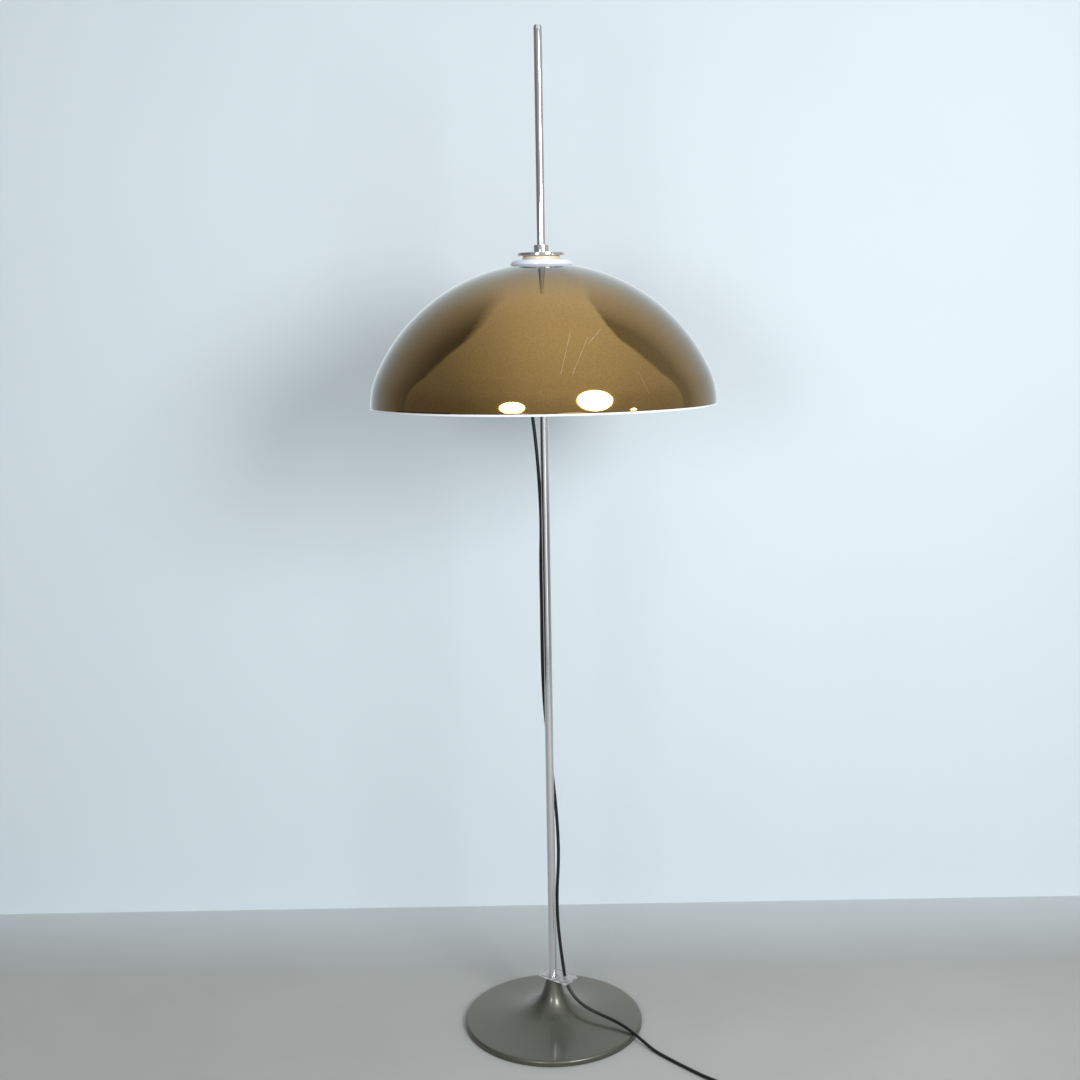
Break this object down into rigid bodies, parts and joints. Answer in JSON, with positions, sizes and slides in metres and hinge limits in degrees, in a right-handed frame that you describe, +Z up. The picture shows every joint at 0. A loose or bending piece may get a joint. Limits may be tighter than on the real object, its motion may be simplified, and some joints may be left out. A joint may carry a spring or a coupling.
{
  "type": "floor lamp",
  "caption": "Floor lamp with a weighted trumpet foot, a thin pole, a sliding domed double shade over a cluster of lampholders, a turning clamp on top, and a cord with a foot switch.",
  "frame": {"origin": "on the floor, on the pole's axis", "axes": "+Z up along the pole; +Y away from the viewer; +X to the viewer's right, the side where the cord leaves"},
  "size_m": [0.5404, 0.6561, 1.4851],
  "materials": {
    "pewter": "glossy metallic paint",
    "iron": "as cast",
    "felt": "felt",
    "steel": "zinc plated",
    "chrome": "polished",
    "clear": "clear acrylic with polished edges",
    "brown": "transparent brown acrylic, mirror gloss",
    "white": "glossy white acrylic",
    "ivory": "satin cream plastic",
    "rubber": "soft rubber",
    "zinc": "zinc plated sheet",
    "brass": "plain brass",
    "bakelite": "black moulded",
    "ceramic": "unglazed ceramic, as a hard matt plastic",
    "opal": "opal white",
    "cord": "smooth black sheath",
    "black": "black moulded, fine satin",
    "button": "black, polished"
  },
  "bodies": {
    "stand": {"cord_coil": "cord", "cord_drop": "cord", "cord_guide": "clear", "cord_lead": "cord", "cord_run": "cord", "cord_tail": "cord", "foot_ballast": "iron", "foot_nut": "steel", "foot_pad": "felt", "foot_shell": "pewter", "foot_washer": "steel", "plug_body": "black", "plug_pins": "brass", "pole": "chrome", "pole_cap": "chrome", "pole_stud": "steel", "switch_base": "black", "switch_bushes": "black", "switch_contacts": "brass", "switch_cover": "black", "switch_leads": "cord", "switch_screws": "steel", "switch_spring": "steel"},
    "head": {"shade_outer": "brown", "shade_liner": "white", "stem": "chrome", "top_ring": "white", "collar_nut": "ivory", "shade_gasket": "rubber", "press_plate": "zinc", "lock_nuts": "steel", "collet": "brass", "lamp_cup": "zinc", "cup_lid": "zinc", "nipple_nuts": "steel", "terminal_block": "ceramic", "inner_leads": "cord", "cord_gland": "black", "gland_nut": "black", "lamp_nipple_1": "steel", "lampholder_1": "bakelite", "socket_insert_1": "ceramic", "bulb_base_1": "brass", "bulb_glass_1": "opal", "lamp_nipple_2": "steel", "lampholder_2": "bakelite", "socket_insert_2": "ceramic", "bulb_base_2": "brass", "bulb_glass_2": "opal", "lamp_nipple_3": "steel", "lampholder_3": "bakelite", "socket_insert_3": "ceramic", "bulb_base_3": "brass", "bulb_glass_3": "opal"},
    "clamp": {"clamp_knob": "chrome"},
    "button": {"switch_button": "button"}
  },
  "joints": [
    {"name": "head_slide", "type": "slide", "parent": "stand", "child": "head", "axis": [0, 0, 1], "range_m": [-0.6, 0.29], "deforming": ["cord_drop"]},
    {"name": "clamp_turn", "type": "hinge", "parent": "head", "child": "clamp", "pos_m": [0, 0, 1.1704], "axis": [0, 0, 1], "range_deg": [0, 180]},
    {"name": "button_press", "type": "slide", "parent": "stand", "child": "button", "axis": [0, 0, -1], "range_m": [0, 0.0025], "stiffness_N_per_m": 1500, "springref_m": -0.004, "deforming": ["switch_spring"]}
  ]
}
